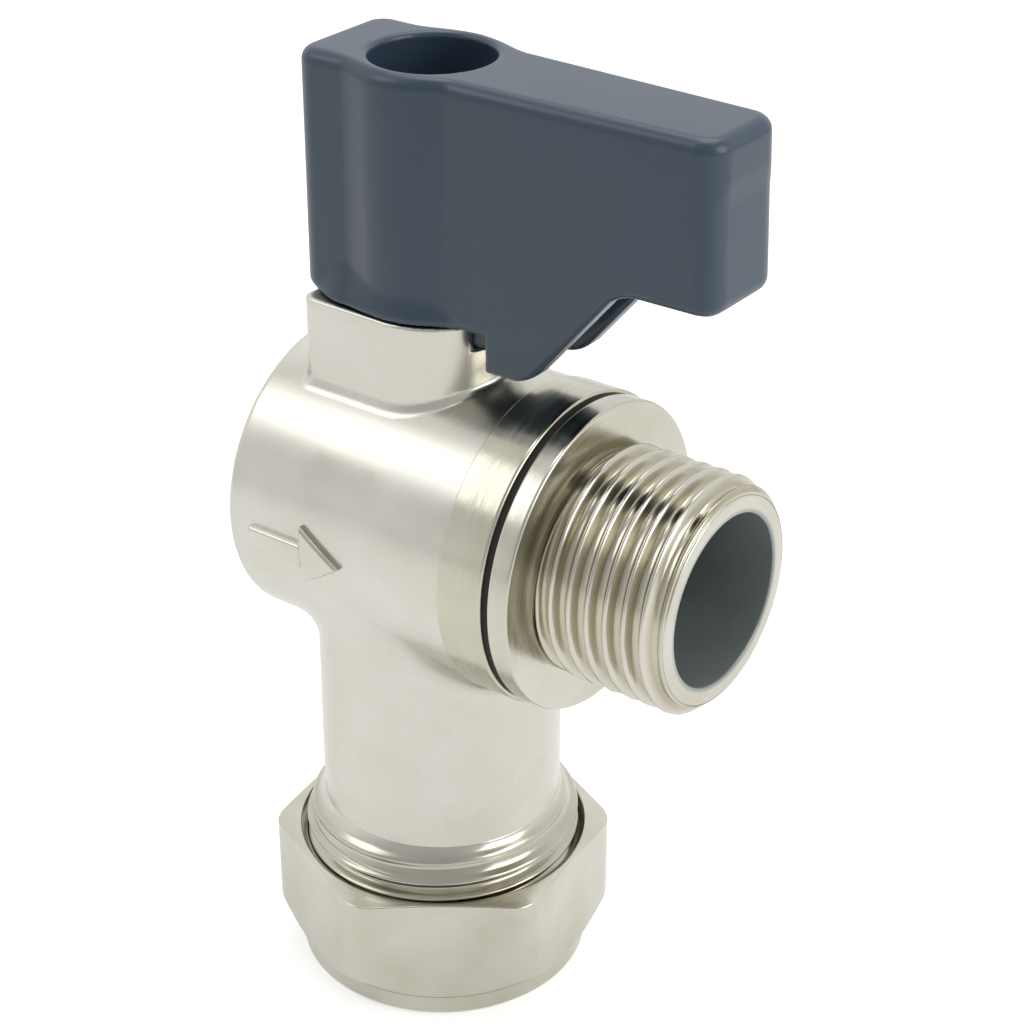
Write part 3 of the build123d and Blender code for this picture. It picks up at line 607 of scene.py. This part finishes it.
# Handle screw and spring washer. A rolled steel screw over a split steel washer, both zinc plated, which hold
# the lever to the stem from the bottom of the hub's recess.

# Bright zinc: bluish silver with a slight bloom.
zinc = mottled_finish("bright_zinc_on_steel", "#A9B0B6", "#C1C7CB", 0.32, 1.0, 1.2)
for fixing in ("handle_screw", "handle_spring_washer"):
    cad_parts[fixing].data.materials[0] = zinc

# Olive. A soft ring turned with two cones from the same bare brass as the stem. The nut squeezes it onto the
# pipe.

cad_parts["olive"].data.materials[0] = bare_brass

# Studio. A sheet of white paper under soft boxes above and to either side, with white all round and a darker
# room behind the camera, which stands where the photographer stood.

FLOOR_HALF = 4.0
PAPER_GLOW, MIRRORED_SHARE = 0.55, 0.6
ROOM_FILL, ROOM_MIRRORED, ROOM_BEHIND_CAMERA = 0.42, 1.0, 0.55
VALVE_MIDDLE = Vector((5, 0, 45)) * MM
# The camera's place, angles and lens are fitted to edges of the valve in the photograph.
CAMERA_AT = Vector((119.18, -149.65, 152.35)) * MM
YAW, PITCH, ROLL = np.radians((126.63, -28.87, 0.12))
FOCAL_PIXELS, PICTURE_PIXELS = 2415.93, 1030
AXIS_PIXEL = (509.27, 513.17)


def straight_and_mirrored(tree):
    """Whether a ray comes straight from the camera, and whether it comes by way of metal or glass."""
    path = add(tree, "ShaderNodeLightPath", {}).outputs
    mirrored = add(
        tree, "ShaderNodeMath", {0: path["Is Glossy Ray"], 1: path["Is Transmission Ray"]}, operation="ADD")
    return path["Is Camera Ray"], mirrored.outputs[0]


floor_mesh = bpy.data.meshes.new("floor")
floor_corners = [(x * FLOOR_HALF, y * FLOOR_HALF, 0) for x, y in ((-1, -1), (1, -1), (1, 1), (-1, 1))]
floor_mesh.from_pydata(floor_corners, [], [(0, 1, 2, 3)])
floor = bpy.data.objects.new("floor", floor_mesh)
bpy.context.collection.objects.link(floor)
paper, tree, sheet = new_finish("white_paper_sweep")
sheet.inputs["Base Color"].default_value = linear("#F7F7F6")
sheet.inputs["Roughness"].default_value = 0.9
straight, mirrored = straight_and_mirrored(tree)
shown = add(tree, "ShaderNodeMath", {0: mirrored, 1: MIRRORED_SHARE, 2: straight}, operation="MULTIPLY_ADD")
glow = add(tree, "ShaderNodeMath", {0: shown.outputs[0], 1: PAPER_GLOW}, operation="MULTIPLY")
sheet.inputs["Emission Color"].default_value = linear("#FFFFFF")
tree.links.new(glow.outputs[0], sheet.inputs["Emission Strength"])
floor_mesh.materials.append(paper)

scene = bpy.context.scene
world = bpy.data.worlds.new("white_studio")
scene.world = world
world.use_nodes = True
tree = world.node_tree
toward = add(tree, "ShaderNodeTexCoord", {}).outputs["Generated"]
facing = add(tree, "ShaderNodeVectorMath", {0: toward, 1: CAMERA_AT.normalized()}, operation="DOT_PRODUCT")
straight, mirrored = straight_and_mirrored(tree)
backdrop = add(tree, "ShaderNodeMapRange", {"Value": mirrored, "To Min": ROOM_FILL, "To Max": ROOM_MIRRORED})
shade = add(tree, "ShaderNodeMapRange", {"Value": facing.outputs["Value"], "From Min": 0.0, "From Max": 0.8,
                                         "To Min": 1.0, "To Max": ROOM_BEHIND_CAMERA},
            interpolation_type="SMOOTHSTEP")
lit = add(
    tree, "ShaderNodeMath", {0: backdrop.outputs["Result"], 1: shade.outputs["Result"]}, operation="MULTIPLY")
level = add(tree, "ShaderNodeMix", {"Factor": straight, 2: lit.outputs[0], 3: 1.0})
tree.links.new(level.outputs[0], tree.nodes["Background"].inputs["Strength"])
tree.nodes["Background"].inputs["Color"].default_value = linear("#FFFFFF")


def softbox(name, place, size, power):
    """Square area light aimed at the middle of the valve."""
    lamp = bpy.data.lights.new(name, "AREA")
    lamp.shape, lamp.size, lamp.energy = "SQUARE", size, power
    light = bpy.data.objects.new(name, lamp)
    light.location = place
    light.rotation_euler = (Vector(place) - VALVE_MIDDLE).to_track_quat("Z", "Y").to_euler()
    bpy.context.collection.objects.link(light)


softbox("overhead", (-0.05, 0.15, 0.7), 0.5, 1.9)
softbox("right_side", (0.6, 0.05, 0.35), 0.4, 1.5)
softbox("left_front", (-0.36, -0.33, 0.52), 0.3, 0.45)

forward = Vector((np.cos(PITCH) * np.cos(YAW), np.cos(PITCH) * np.sin(YAW), np.sin(PITCH)))
right = forward.cross(Vector((0, 0, 1))).normalized()
right = Matrix.Rotation(-ROLL, 3, forward) @ right
upward = right.cross(forward)
lens = bpy.data.cameras.new("photographer")
lens.sensor_width = 36.0
lens.lens = FOCAL_PIXELS / PICTURE_PIXELS * lens.sensor_width
lens.shift_x = (PICTURE_PIXELS / 2 - AXIS_PIXEL[0]) / PICTURE_PIXELS
lens.shift_y = (AXIS_PIXEL[1] - PICTURE_PIXELS / 2) / PICTURE_PIXELS
lens.clip_start = 0.01
camera = bpy.data.objects.new("photographer", lens)
turn = Matrix((right, upward, -forward)).transposed()
camera.matrix_world = Matrix.Translation(CAMERA_AT) @ turn.to_4x4()
bpy.context.collection.objects.link(camera)
scene.camera = camera
scene.view_settings.view_transform = "Standard"
